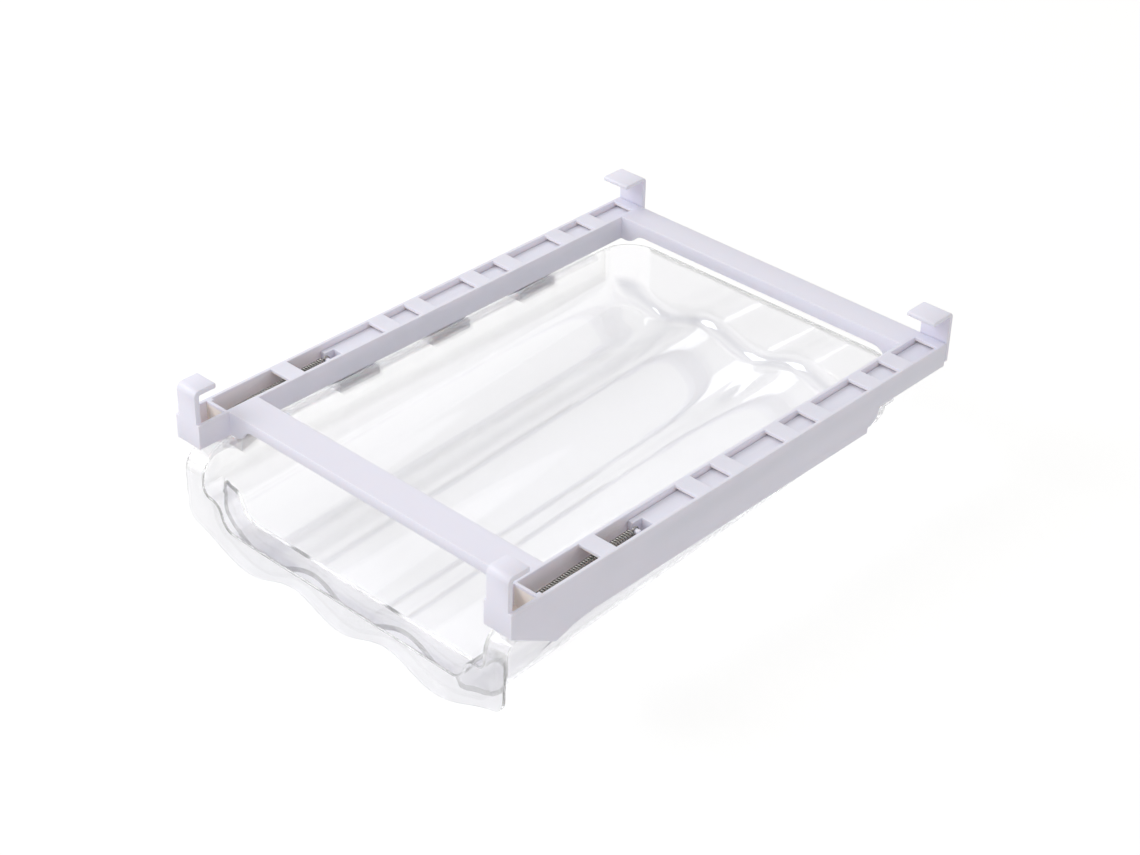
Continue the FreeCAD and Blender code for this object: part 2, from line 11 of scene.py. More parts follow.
import bmesh
import bpy
import numpy as np
from bpy.props import FloatProperty, FloatVectorProperty, PointerProperty
from bpy.types import Operator, Panel, PropertyGroup
from mathutils import Matrix, Vector


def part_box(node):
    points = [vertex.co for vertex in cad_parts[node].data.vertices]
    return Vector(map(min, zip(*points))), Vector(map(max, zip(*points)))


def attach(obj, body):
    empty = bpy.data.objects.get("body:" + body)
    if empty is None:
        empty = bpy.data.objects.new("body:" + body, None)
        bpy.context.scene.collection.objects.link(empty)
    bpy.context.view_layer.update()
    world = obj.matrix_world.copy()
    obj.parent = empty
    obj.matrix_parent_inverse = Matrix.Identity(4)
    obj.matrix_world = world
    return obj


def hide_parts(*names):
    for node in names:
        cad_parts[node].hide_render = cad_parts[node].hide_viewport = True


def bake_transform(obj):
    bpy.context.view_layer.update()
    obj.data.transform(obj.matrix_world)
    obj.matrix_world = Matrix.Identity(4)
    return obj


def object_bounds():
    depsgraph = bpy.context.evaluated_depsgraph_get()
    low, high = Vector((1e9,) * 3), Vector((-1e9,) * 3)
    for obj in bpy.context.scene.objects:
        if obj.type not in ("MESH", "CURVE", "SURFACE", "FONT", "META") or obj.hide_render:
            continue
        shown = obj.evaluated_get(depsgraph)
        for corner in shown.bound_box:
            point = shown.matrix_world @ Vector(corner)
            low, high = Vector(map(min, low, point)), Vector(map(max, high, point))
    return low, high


bl_info = {
    "name": "Fridge Drawer Organizer",
    "version": (1, 0, 0),
    "blender": (4, 5, 0),
    "location": "3D View > Sidebar > Drawer",
    "description": "Builds the clear drawer, the white frame's finish, the springs and the stage",
    "category": "Object",
}

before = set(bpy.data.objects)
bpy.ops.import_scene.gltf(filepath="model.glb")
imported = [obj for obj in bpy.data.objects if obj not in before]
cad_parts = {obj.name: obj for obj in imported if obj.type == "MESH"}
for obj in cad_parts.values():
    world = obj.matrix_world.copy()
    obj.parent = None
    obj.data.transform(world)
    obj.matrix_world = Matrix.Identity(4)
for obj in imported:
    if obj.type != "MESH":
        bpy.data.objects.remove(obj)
CAD_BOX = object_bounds()
MM = 0.001

_, tray_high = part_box("drawer_tray")
apron_low, apron_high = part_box("drawer_apron")
sill_low, sill_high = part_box("drawer_front_sill")
_, flange_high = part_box("drawer_right_flange")
anchor_low, anchor_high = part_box("right_spring_anchor")
bar_low, bar_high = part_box("right_spring_bar")
rail_low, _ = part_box("right_rail")
ledge_low, ledge_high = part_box("right_guide_ledges")
slider_low, slider_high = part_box("right_slider")

FRAME_NODES = [
    "left_rail", "right_rail", "left_rail_bridges", "right_rail_bridges", "left_skirt",
    "right_skirt", "left_guide_ledges", "right_guide_ledges", "front_crossbar", "rear_crossbar",
    "left_front_hook", "right_front_hook", "left_spring_anchor", "right_spring_anchor",
]
SLIDER_NODES = ["slider", "spring_bar", "rear_hook"]
DRAWER_NODES = [
    "drawer_tray", "drawer_front_sill", "drawer_apron", "drawer_left_flange",
    "drawer_right_flange",
]


# ---- settings

class DrawerSettings(PropertyGroup):
    """Sizes and finish of the clear drawer."""

    wall: FloatProperty(
        name="Wall", description="Thickness of the clear moulding", default=1.5 * MM,
        unit="LENGTH")
    edge_round: FloatProperty(
        name="Edge round", description="Radius on the rim and the apron's edges",
        default=0.5 * MM, unit="LENGTH")
    lane_wave: FloatProperty(
        name="Lane wave", description="Half the height of the floor's waves",
        default=3.4 * MM, unit="LENGTH")
    lane_pitch: FloatProperty(
        name="Lane pitch", description="Distance between two lanes of the floor",
        default=58.4 * MM, unit="LENGTH")
    floor_tilt: FloatProperty(
        name="Floor tilt", description="How much the floor climbs to the rear",
        default=math.radians(3.05), subtype="ANGLE")
    tint: FloatVectorProperty(
        name="Tint", description="Colour of light that has passed one wall squarely",
        default=(0.978, 0.975, 0.99), size=3, min=0, max=1, subtype="COLOR")
    # Painted shade: the grey the plastic's colour is painted where a face is seen edge-on.
    grazing_shade_tint: FloatVectorProperty(
        name="Edge tint", description="Colour of light that has passed a wall along its face",
        default=(0.70, 0.70, 0.74), size=3, min=0, max=1, subtype="COLOR")
    # The next three settings paint shade into the clear plastic: how grey the rear fold, the floor
    # and the apron's front face are painted.
    fold_painted_shade: FloatProperty(
        name="Fold grey", description="How grey the fold below the rear wall is", default=0.95,
        min=0, max=1, subtype="FACTOR")
    floor_painted_shade: FloatProperty(
        name="Floor grey", description="How grey the floor is", default=0.2,
        min=0, max=1, subtype="FACTOR")
    apron_painted_shade: FloatProperty(
        name="Apron grey", description="How grey the apron's front face is", default=0.65,
        min=0, max=1, subtype="FACTOR")
    body: FloatProperty(
        name="Body", description="Share of the light that the plastic bends and mirrors",
        default=0.9, min=0, max=1, subtype="FACTOR")
    thin_body: FloatProperty(
        name="Thin body", description="The same share along the rim and on the runners",
        default=0.4, min=0, max=1, subtype="FACTOR")
    gloss_roughness: FloatProperty(
        name="Roughness", description="Roughness of the polished faces", default=0.008,
        min=0, max=1, subtype="FACTOR")


class MouldingSettings(PropertyGroup):
    """Colour and finish of the white mouldings."""

    colour: FloatVectorProperty(
        name="Colour", description="Colour of the white plastic",
        default=(0.83, 0.82, 0.94), size=3, min=0, max=1, subtype="COLOR")
    # Painted light: a warm colour painted deep in the channels for the warm light there.
    channel_painted_light: FloatVectorProperty(
        name="Channel colour", description="Warmer colour deep in the rails' channels",
        default=(0.96, 0.885, 0.815), size=3, min=0, max=1, subtype="COLOR")
    # Painted light: the thin ledges' colour is painted lighter than the plastic's own.
    ledge_painted_light: FloatVectorProperty(
        name="Ledge colour", description="Colour of the thin ledges, which let light through",
        default=(1.0, 0.975, 0.98), size=3, min=0, max=1, subtype="COLOR")
    translucency: FloatProperty(
        name="Translucency", description="Share of light that enters the plastic", default=0.3,
        min=0, max=1, subtype="FACTOR")
    edge_round: FloatProperty(
        name="Edge round", description="Width of the soft edges", default=0.32 * MM,
        unit="LENGTH")
    roughness: FloatProperty(
        name="Roughness", description="Roughness of the fine satin finish", default=0.42,
        min=0, max=1, subtype="FACTOR")
    grain_depth: FloatProperty(
        name="Grain depth", description="Height of the fine moulded grain",
        default=0.02 * MM, unit="LENGTH")


class SpringSettings(PropertyGroup):
    """Sizes and finish of the steel springs."""

    wire: FloatProperty(
        name="Wire", description="Diameter of the wire", default=0.9 * MM, unit="LENGTH")
    pitch: FloatProperty(
        name="Pitch", description="Distance between two turns", default=1.45 * MM,
        unit="LENGTH")
    colour: FloatVectorProperty(
        name="Colour", description="Colour of the steel wire", default=(0.3, 0.29, 0.275),
        size=3, min=0, max=1, subtype="COLOR")


class StageSettings(PropertyGroup):
    """Light and camera."""

    sky: FloatProperty(
        name="Sky", description="Strength of the soft light from all round", default=0.67)
    key: FloatProperty(
        name="Key lamp", description="Power of the large lamp, in watts", default=13.5)
    camera_turn: FloatProperty(
        name="Camera turn", description="The camera's azimuth, from the front to the right",
        default=math.radians(42.142), subtype="ANGLE")
    camera_height: FloatProperty(
        name="Camera height", description="The camera's elevation", subtype="ANGLE",
        default=math.radians(33.205))
    camera_roll: FloatProperty(
        name="Camera roll", description="The camera's turn about its own axis",
        default=math.radians(1.622), subtype="ANGLE")
    lens: FloatProperty(
        name="Lens", description="Focal length in millimetres", default=74.69)


# ---- mesh helpers

SEAM = 0.002 * MM
FINE_SEAM = 0.001 * MM
FLAT_ANGLE = math.radians(0.6)
SOFT_EDGE_ANGLE = math.radians(30)
SOFT_EDGE_STEPS = 2
EDGE_STEPS = 4
ACROSS_X, ACROSS_Y = 0, 1


def placed(name, data):
    """A new object in the scene for the mesh, lamp or camera given."""
    item = bpy.data.objects.new(name, data)
    bpy.context.scene.collection.objects.link(item)
    return item


@contextmanager
def edited(mesh):
    """Opens a mesh for work on its points and faces, and writes it back."""
    work = bmesh.new()
    work.from_mesh(mesh)
    yield work
    work.to_mesh(mesh)
    work.free()


def smooth_faces(mesh):
    """Shades every face smooth."""
    mesh.polygons.foreach_set("use_smooth", np.ones(len(mesh.polygons), bool))


def grid_faces(rows, columns, start, closed):
    """Quads over rows x columns points that are numbered row by row from start.

    Quad (r, c) joins points (r, c), (r, c + 1), (r + 1, c + 1) and (r + 1, c). In a closed grid
    the last column is joined to the first.
    """
    r, c = np.meshgrid(
        np.arange(rows - 1), np.arange(columns if closed else columns - 1), indexing="ij")
    here, below, right = r * columns, (r + 1) * columns, (c + 1) % columns
    quads = np.stack([here + c, here + right, below + right, below + c], -1)
    return (quads.reshape(-1, 4) + start).tolist()


class Skin:
    """Collects grids and caps, and turns them into one closed mesh."""

    def __init__(self):
        self.points = []
        self.faces = []
        self.count = 0

    def grid(self, points, closed=False):
        """Adds a surface given as an array of rows x columns x 3."""
        rows, columns = points.shape[:2]
        self.faces += grid_faces(rows, columns, self.count, closed)
        self.points.append(points.reshape(-1, 3))
        self.count += rows * columns

    def cap(self, outline):
        """Adds one flat face inside an outline."""
        self.faces.append(list(range(self.count, self.count + len(outline))))
        self.points.append(outline)
        self.count += len(outline)

    def tube(self, rings):
        """Adds a row of closed rings, with a flat face at both ends, and returns the skin."""
        self.grid(rings, closed=True)
        self.cap(rings[0])
        self.cap(rings[-1][::-1])
        return self

    def make(self, name):
        """Merges the seams, turns the faces outward and returns the object."""
        mesh = bpy.data.meshes.new(name)
        mesh.from_pydata(np.concatenate(self.points).tolist(), [], self.faces)
        with edited(mesh) as work:
            bmesh.ops.remove_doubles(work, verts=work.verts, dist=SEAM)
            bmesh.ops.recalc_face_normals(work, faces=work.faces)
            open_edges = sum(1 for edge in work.edges if not edge.is_manifold)
        if open_edges:
            raise RuntimeError(f"{name} has {open_edges} open edges")
        return placed(name, mesh)


def union(name, pieces, crease):
    """One closed skin round all the pieces, smooth but for edges sharper than the crease."""
    whole = pieces[0]
    for piece in pieces[1:]:
        joint = whole.modifiers.new("join", "BOOLEAN")
        joint.operation = "UNION"
        joint.solver = "MANIFOLD"
        joint.object = piece
    graph = bpy.context.evaluated_depsgraph_get()
    mesh = bpy.data.meshes.new_from_object(whole.evaluated_get(graph))
    mesh.name = name
    for piece in pieces:
        bpy.data.objects.remove(piece)
    smooth_faces(mesh)
    mesh.set_sharp_from_angle(angle=crease)
    return placed(name, mesh)


def node_copy(node):
    """A CAD node's mesh as a new object with its loose triangles merged."""
    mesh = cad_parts[node].data.copy()
    with edited(mesh) as work:
        bmesh.ops.remove_doubles(work, verts=work.verts, dist=FINE_SEAM)
    return placed(node + "_copy", mesh)


def soft_moulding(name, nodes, edge_round, material, body):
    """One moulding from the CAD nodes that form it, with its flat faces whole and edges soft."""
    moulding = union(name, [node_copy(node) for node in nodes], math.pi)
    with edited(moulding.data) as work:
        bmesh.ops.remove_doubles(work, verts=work.verts, dist=SEAM)
        bmesh.ops.dissolve_limit(work, angle_limit=FLAT_ANGLE, verts=work.verts, edges=work.edges)
    soft = moulding.modifiers.new("soft edges", "BEVEL")
    soft.width = edge_round
    soft.segments = SOFT_EDGE_STEPS
    soft.limit_method = "ANGLE"
    soft.angle_limit = SOFT_EDGE_ANGLE
    soft.use_clamp_overlap = False
    soft.harden_normals = True
    moulding.data.materials.clear()
    moulding.data.materials.append(material)
    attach(moulding, body)
    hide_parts(*nodes)


def quarter_turn(steps):
    """Angles from 0 to a right angle."""
    return np.linspace(0, math.pi / 2, steps + 1)


def quarter_round(steps):
    """Shares of a quarter round: how far in and how far up, from 0 to 1."""
    turn = quarter_turn(steps)
    return 1 - np.cos(turn), np.sin(turn)


def mirrored(outline):
    """The right half of an outline, as (x, z), as it runs on the left half."""
    return outline[::-1] * np.array([-1, 1])


def unit(vectors):
    """The vectors at a length of 1."""
    return vectors / np.linalg.norm(vectors, axis=-1, keepdims=True)


def outward_normals(outline):
    """Unit normals of a closed plane outline that runs anticlockwise.

    Each is the chord between the neighbours, turned by a right angle.
    """
    chord = np.roll(outline, -1, 0) - np.roll(outline, 1, 0)
    return unit(np.stack([chord[:, 1], -chord[:, 0]], -1))


def rounded_plate(outline, low, high, low_round, high_round, axis):
    """A plate between two planes whose outline draws in to a round edge at each face.

    Ring k of a round edge of radius r lies r(1 - cos t) from the outline's plane edge inward and
    r sin t along. Across Y the outline is given as (x, z), and across X as (y, z).
    """
    normals = outward_normals(outline)
    drawn, climbed = quarter_round(EDGE_STEPS)
    insets = np.concatenate([low_round * drawn[::-1], high_round * drawn])
    depths = np.concatenate([low + low_round * (1 - climbed[::-1]),
                             high - high_round * (1 - climbed)])
    if low_round == 0 and high_round == 0:
        insets, depths = np.zeros(2), np.array([low, high])
    rings = outline - normals * insets[:, None, None]
    depths = np.broadcast_to(depths[:, None], rings.shape[:2])
    return Skin().tube(np.insert(rings, axis, depths, -1))


# ---- clear drawer

BOTTOM_CORNER = 13.4 * MM
REAR_CORNER = 18 * MM
REAR_FOLD = 7.7 * MM
SILL_DEPTH = 13.8 * MM
SILL_RISE = 10.8 * MM
SHOULDER_RUN = 15 * MM
SHOULDER_FILLET = 4 * MM
FILLET_BITE = 0.05 * MM
APRON_WAVE = 3.8 * MM
APRON_OUTER_RISE = 11.2 * MM
APRON_OUTER_RUN = 40 * MM
APRON_CORNER = 9 * MM
APRON_ROUND = 0.7 * MM
EAR_TOP = 2.5 * MM
EAR_OVERLAP = 12 * MM
NOSE_LENGTH = 16 * MM
CHEEK_REAR = 20 * MM
CHEEK_DIP = 1 * MM
FLANGE_THICKNESS = 1.7 * MM
FLANGE_END_ROUND = 2 * MM
RUNNER_EDGE = 0.25 * MM
CREASE = math.radians(40)

# How finely the surfaces are drawn. A section's steps are those of floor, corner and wall.
SECTION_STEPS = (6, 14, 12)
ACROSS_POINTS = 121
ALONG_POINTS = 31
WAVE_POINTS = 181
ARC_POINTS = 13
RIM_STEPS = 5
FILLET_STEPS = 8
NOSE_STEPS = 24
BEND_STEPS = 16
END_STEPS = 6
SETTLE_STEPS = 30

# Limits of the places that get painted grey shade or are marked thin.
FOLD_REACH = 1.6
FOLD_EASE = 0.5
THIN_FADE = 8 * MM
RIM_SHARE = 1.2
BEHIND_APRON = 2 * MM
WALL_MARGIN = 0.05 * MM
FACE_MARGIN = 0.02 * MM
NO_DISTANCE = 1e-6


def wall_front(s):
    """Y of the low front wall's front face."""
    return apron_low.y + SILL_DEPTH - s.wall


def lane_height(x, s):
    """The floor's waves: height = -wave cos(2 pi x / pitch)."""
    return -s.lane_wave * np.cos(2 * math.pi * x / s.lane_pitch)


def lane_slope(x, s):
    """The slope of the waves: 2 pi wave / pitch times sin(2 pi x / pitch)."""
    return s.lane_wave * 2 * math.pi / s.lane_pitch * np.sin(2 * math.pi * x / s.lane_pitch)


def floor_height(x, y, level, s):
    """The floor: its level inside the low front wall, plus the tilt and the waves."""
    return level + math.tan(s.floor_tilt) * (y - wall_front(s) - s.wall) + lane_height(x, s)


def corner_lean(slope, edge, radius, s):
    """The lean of a waved line where it runs into a round corner that ends at edge.

    The value settles by repetition of lean = atan slope(edge - R (1 - sin lean)).
    """
    lean = 0.0
    for _ in range(SETTLE_STEPS):
        lean = math.atan(slope(edge - radius * (1 - math.sin(lean)), s))
    return lean


def tray_plan(s, centre_x, centre_y):
    """The plan behind the tray's grid: base points between the centres of the plan's rear
    corners, shares of the side's and the rear's section, and -1, 0 or 1 for left, middle or right.
    """
    outer = np.concatenate(
        [np.linspace(k, k + 1, steps + 1)[1:] for k, steps in enumerate(SECTION_STEPS)])
    across = np.linspace(-centre_x, centre_x, ACROSS_POINTS)
    along = np.linspace(wall_front(s), centre_y, ALONG_POINTS)
    ends = np.ones(len(outer))
    base_x = np.concatenate([-centre_x * ends, across, centre_x * ends])
    share_x = np.concatenate([outer[::-1], np.zeros(len(across)), outer])
    hand = np.concatenate([-ends, np.zeros(len(across)), ends])
    base_y = np.concatenate([along, centre_y * ends])
    share_y = np.concatenate([np.zeros(len(along)), outer])
    share_x, share_y = np.broadcast_arrays(share_x[None, :], share_y[:, None])
    return base_x[None, :], base_y[:, None], share_x, share_y, hand[None, :]


def tray_surfaces(s):
    """Points of the tray's inside and outside, and the inside's normals, as grids.

    The floor is lane wave plus tilt. Near a wall a point is given by a share q of the section
    that runs out from the centre of the plan's round corner: q from 0 to 1 is floor, 1 to 2 is
    the round bottom corner (R sin f out and R cos f down about its centre) and 2 to 3 is wall.
    In the plan's corners q is the larger of the two walls' shares, and their ratio gives the
    direction, so the side's and the rear's sections blend by cos squared of that direction.
    The outside lies one wall thickness along the normal.
    """
    inner = tray_high.x - s.wall
    tilt = s.floor_tilt
    centre_x, centre_y = inner - REAR_CORNER, tray_high.y - s.wall - REAR_CORNER
    base_x, base_y, share_x, share_y, hand = tray_plan(s, centre_x, centre_y)
    lean = corner_lean(lane_slope, inner, BOTTOM_CORNER, s)
    arc_x = inner - BOTTOM_CORNER + BOTTOM_CORNER * math.sin(lean)
    arc_z = lane_height(arc_x, s) + BOTTOM_CORNER * math.cos(lean)
    side_start = arc_x - centre_x
    rear_start = REAR_CORNER - REAR_FOLD * (1 - math.sin(tilt))
    q = np.maximum(share_x, share_y)
    ratio = np.minimum(share_x, share_y) / np.where(q > 0, q, 1)
    turn = np.where(share_x >= share_y, ratio, 2 - ratio) * math.pi / 4 * (q > 0)
    side = np.cos(turn) ** 2
    flat, bend, climb = np.clip(q, 0, 1), np.clip(q - 1, 0, 1), np.clip(q - 2, 0, 1)
    side_lean = lean + (math.pi / 2 - lean) * bend
    rear_lean = tilt + (math.pi / 2 - tilt) * bend
    side_reach = side_start * flat + BOTTOM_CORNER * (np.sin(side_lean) - math.sin(lean))
    rear_reach = rear_start * flat + REAR_FOLD * (np.sin(rear_lean) - math.sin(tilt))
    reach = side * side_reach + (1 - side) * rear_reach
    x = base_x + hand * reach * np.cos(turn)
    y = base_y + reach * np.sin(turn)
    curving = q >= 1
    side_rise = np.where(curving, arc_z - BOTTOM_CORNER * np.cos(side_lean)
                         - lane_height(centre_x + side_reach, s), 0)
    rear_rise = np.where(curving, REAR_FOLD * (math.cos(tilt) - np.cos(rear_lean))
                         - math.tan(tilt) * REAR_FOLD * (np.sin(rear_lean) - math.sin(tilt)), 0)
    z = (floor_height(x, y, sill_low.z + s.wall - SILL_RISE, s)
         + side * side_rise + (1 - side) * rear_rise)
    z = z + climb * (tray_high.z - s.edge_round - z)
    inside = np.stack([x, y, z], -1)
    upright = np.where(curving, side * side_lean + (1 - side) * rear_lean, 0)
    lane_share = np.where(curving, 1 - side, 1)
    tilt_share = np.where(curving, side, 1)
    normals = unit(np.stack([
        -np.sin(upright) * np.cos(turn) * hand
        - np.cos(upright) * lane_share * lane_slope(x, s),
        -np.sin(upright) * np.sin(turn) - np.cos(upright) * tilt_share * math.tan(tilt),
        np.cos(upright)], -1))
    outside = inside - s.wall * normals
    outside[0, :, 1] = wall_front(s)
    return inside, outside, normals


def tray_body(s):
    """The tray's closed shell: both surfaces, a round rim between them and a flat front end.

    The rim carries a section along the three upper edges: a quarter round r(1 - cos t) out and
    r sin t up, a flat top, and the same quarter round down to the outside.
    """
    inside, outside, normals = tray_surfaces(s)
    edge = np.concatenate([inside[:, 0], inside[-1, 1:], inside[-2::-1, -1]])
    out = -np.concatenate([normals[:, 0], normals[-1, 1:], normals[-2::-1, -1]])
    drawn, climbed = quarter_round(RIM_STEPS)
    reach = np.concatenate([s.edge_round * drawn, s.wall - s.edge_round * drawn[::-1]])
    lift = np.concatenate([climbed, climbed[::-1]]) * s.edge_round
    rim = edge[:, None] + out[:, None] * reach[:, None]
    rim[..., 2] += lift
    skin = Skin()
    skin.grid(inside)
    skin.grid(outside)
    skin.grid(rim)
    skin.grid(np.stack([inside[0], outside[0]]))
    skin.cap(rim[0])
    skin.cap(rim[-1])
    return skin.make("tray_body")


def mark_painted_shade_and_thin(mesh, s):
    """Writes two attributes: grey, the painted shade for the darker places, and thin for the rim
    and the flanges.

    The height above the waved floor and the distance to the rear wall give the direction from
    the corner of the fold below that wall: share = 2 / pi atan2(height, distance). The fold's
    painted shade is sin(pi share) where both are within its radius. The floor's painted shade
    fades to nothing one corner radius up, and the apron's front face gets an even painted shade.

    The thin mark is 1 along the rim, on the flanges and on the ears' round edges. On the tray's
    side walls it is 1 from the ledges' height up, and fades out downward over THIN_FADE.
    """
    places = np.empty(len(mesh.vertices) * 3, np.float32)
    mesh.vertices.foreach_get("co", places)
    x, y, z = places.reshape(-1, 3).T
    height = np.clip(z - floor_height(x, y, sill_low.z - SILL_RISE, s), 0, None)
    distance = np.clip(tray_high.y - y, 0, None)
    share = 2 / math.pi * np.arctan2(height, distance + NO_DISTANCE)
    near = np.clip(FOLD_REACH - np.maximum(height, distance) / REAR_FOLD, 0, FOLD_EASE) / FOLD_EASE
    behind = y > apron_high.y + BEHIND_APRON
    flange = (np.abs(x) > tray_high.x + WALL_MARGIN) & behind
    rim = z > tray_high.z - RIM_SHARE * s.edge_round
    beside = (np.abs(x) > tray_high.x - s.wall - WALL_MARGIN) & behind
    side = beside * np.clip((z - ledge_low.z) / THIN_FADE + 1, 0, 1)
    within = np.abs(y - apron_low.y - s.wall / 2) < s.wall / 2 - FACE_MARGIN
    edge = within & (np.abs(x) > tray_high.x) & (z > apron_low.z + APRON_CORNER)
    # Painted shade at the rear fold, near the floor and on the apron's front face.
    fold = s.fold_painted_shade * np.sin(math.pi * share) * near
    low = s.floor_painted_shade * np.clip(1 - height / BOTTOM_CORNER, 0, 1)
    plate = s.apron_painted_shade * (y < apron_low.y + s.wall / 2)
    grey = np.maximum(fold, np.maximum(low, plate))
    for name, values in (("grey", grey), ("thin", np.maximum(flange | rim | edge, side))):
        mark = mesh.attributes.new(name, "FLOAT", "POINT")
        mark.data.foreach_set("value", values.astype(np.float32))


def sill_line(s, drop):
    """The sill's outline from the left shoulder to the right one, as (x, z), moved along its
    normal by drop. Each shoulder is two equal arcs, level at both ends:
    R = (run^2 + rise^2) / 4 rise.
    """
    inner = tray_high.x - s.wall - SHOULDER_FILLET
    top, low = sill_high.z, sill_low.z + s.wall
    rise = top - low
    radius = (SHOULDER_RUN ** 2 + rise ** 2) / (4 * rise)
    turn = np.linspace(0, math.asin(SHOULDER_RUN / (2 * radius)), ARC_POINTS)
    lower = np.stack([inner - SHOULDER_RUN + (radius + drop) * np.sin(turn),
                      low + radius - (radius + drop) * np.cos(turn)], -1)
    upper = np.stack([inner - (radius - drop) * np.sin(turn),
                      top - radius + (radius - drop) * np.cos(turn)], -1)[::-1]
    right = np.concatenate([lower, upper[1:]])
    return np.concatenate([mirrored(right), right])


def whole_sill(s, drop):
    """The sill's outline with a quarter turn at each end that leads up into the side wall.

    The turn's two sides share a centre. Its end stays FILLET_BITE inside the wall's faces.
    """
    turn = quarter_turn(FILLET_STEPS)[1:]
    centre_x = tray_high.x - s.wall - SHOULDER_FILLET + FILLET_BITE
    reach = SHOULDER_FILLET + max(drop - 2 * FILLET_BITE, 0)
    right = np.stack([centre_x + reach * np.sin(turn),
                      sill_high.z + SHOULDER_FILLET
                      - (SHOULDER_FILLET + drop) * np.cos(turn)], -1)
    return np.concatenate([mirrored(right), sill_line(s, drop), right])


def front_wall(s):
    """The tray's low front wall: from the middle of the floor's thickness up to the sill."""
    inside, outside, _ = tray_surfaces(s)
    floor = (inside[0] + outside[0])[:, [0, 2]] / 2
    floor = floor[floor[:, 1] < sill_high.z - s.wall]
    shoulder = np.array([[tray_high.x - s.wall / 2, sill_high.z + SHOULDER_FILLET]])
    outline = np.concatenate([floor, shoulder, whole_sill(s, 0)[::-1], mirrored(shoulder)])
    front = wall_front(s)
    return rounded_plate(outline, front, front + s.wall, 0, s.edge_round, ACROSS_Y).make("wall")


def sill_step(s):
    """The level step behind the apron, one wall thick, with its two shoulders."""
    outline = np.concatenate([whole_sill(s, s.wall), whole_sill(s, 0)[::-1]])
    front = apron_low.y + APRON_ROUND
    rear = apron_low.y + SILL_DEPTH - s.edge_round
    return rounded_plate(outline, front, rear, 0, 0, ACROSS_Y).make("sill")


def apron_edge(x, s):
    """Height of the apron's lower edge: waves, then half a cosine up towards each corner."""
    distance = np.abs(x)
    level = apron_low.z + APRON_WAVE
    share = np.clip((distance - s.lane_pitch) / APRON_OUTER_RUN, 0, 1)
    waves = level - APRON_WAVE * np.cos(2 * math.pi * distance / s.lane_pitch)
    climb = level - APRON_WAVE + APRON_OUTER_RISE / 2 * (1 - np.cos(math.pi * share))
    return np.where(distance <= s.lane_pitch, waves, climb)


def apron_slope(x, s):
    """Slope of the apron's outer climb: pi rise / 2 run times sin(pi share)."""
    share = np.clip((x - s.lane_pitch) / APRON_OUTER_RUN, 0, 1)
    return math.pi * APRON_OUTER_RISE / (2 * APRON_OUTER_RUN) * np.sin(math.pi * share)


def apron_plate(s):
    """The pull: a plate with a waved edge, round lower corners and an ear on each side."""
    half = apron_high.x
    lean = corner_lean(apron_slope, half, APRON_CORNER, s)
    turn_x = half - APRON_CORNER * (1 - math.sin(lean))
    middle_z = float(apron_edge(turn_x, s)) + APRON_CORNER * math.cos(lean)
    across = np.linspace(-turn_x, turn_x, WAVE_POINTS)
    low = np.stack([across, apron_edge(across, s)], -1)
    turn = np.linspace(lean, math.pi / 2, ARC_POINTS)[1:]
    corner = np.stack([half - APRON_CORNER + APRON_CORNER * np.sin(turn),
                       middle_z - APRON_CORNER * np.cos(turn)], -1)
    ear = apron_high.z - EAR_TOP
    inner = tray_high.x - s.wall / 2
    right = np.concatenate([corner, [[half, ear], [inner, ear],
                                     [inner, sill_high.z + SHOULDER_FILLET]]])
    outline = np.concatenate([low, right, whole_sill(s, 0)[::-1], mirrored(right)])
    front = apron_low.y
    return rounded_plate(outline, front, front + s.wall, APRON_ROUND, s.edge_round,
                         ACROSS_Y).make("apron")


def cheek(s, hand):
    """The side wall's front end: from the shoulder up to the rim, with an elliptic nose."""
    front = apron_low.y
    foot = sill_high.z + SHOULDER_FILLET - CHEEK_DIP
    rise = tray_high.z - apron_high.z
    turn = quarter_turn(NOSE_STEPS)
    nose = np.stack([front + NOSE_LENGTH * (1 - np.sin(turn)),
                     apron_high.z + rise * np.cos(turn)], -1)
    rear = front + CHEEK_REAR
    outline = np.concatenate([[[rear, foot], [rear, tray_high.z]], nose, [[front, foot]]])
    low, high = sorted([hand * (tray_high.x - s.wall), hand * tray_high.x])
    return rounded_plate(outline, low, high, s.edge_round, s.edge_round, ACROSS_X).make("cheek")


def runner(s, hand):
    """The ear's upper part and the flange: one strip that bends from upright to level.

    Its outer face runs up, round a quarter circle and back. The section is carried along it at
    right angles: the strip's width in X and its thickness inward, with a round outer edge.
    """
    front, low, top = apron_low.y, apron_high.z, flange_high.z
    radius = top - low
    turn = quarter_turn(BEND_STEPS)
    end_turn = quarter_turn(END_STEPS)
    back = flange_high.y
    y = np.concatenate([[front], front + radius * (1 - np.cos(turn)),
                        back - FLANGE_END_ROUND * (1 - np.sin(end_turn))])
    z = np.concatenate([[low - EAR_OVERLAP], low + radius * np.sin(turn),
                        np.full(len(end_turn), top)])
    lean = np.concatenate([[0], turn, np.full(len(end_turn), math.pi / 2)])
    thick = s.wall + (FLANGE_THICKNESS - s.wall) * np.sin(lean)
    width = apron_high.x - np.concatenate(
        [np.zeros(len(turn) + 1), FLANGE_END_ROUND * (1 - np.cos(end_turn))])
    drawn, climbed = quarter_round(EDGE_STEPS)
    inset = RUNNER_EDGE * np.concatenate([[0], drawn[::-1], drawn, [0]])
    depth = RUNNER_EDGE * np.concatenate([[0], 1 - climbed[::-1], climbed - 1, [0]])
    order = np.arange(len(inset))
    buried = (order == 0) | (order == order[-1])
    x = np.where(buried, tray_high.x - s.wall / 2, width[:, None] - inset)
    into = depth + (order >= len(inset) // 2) * thick[:, None]
    points = np.stack([hand * x, y[:, None] + into * np.cos(lean)[:, None],
                       z[:, None] - into * np.sin(lean)[:, None]], -1)
    return Skin().tube(points).make("runner")


# ---- springs

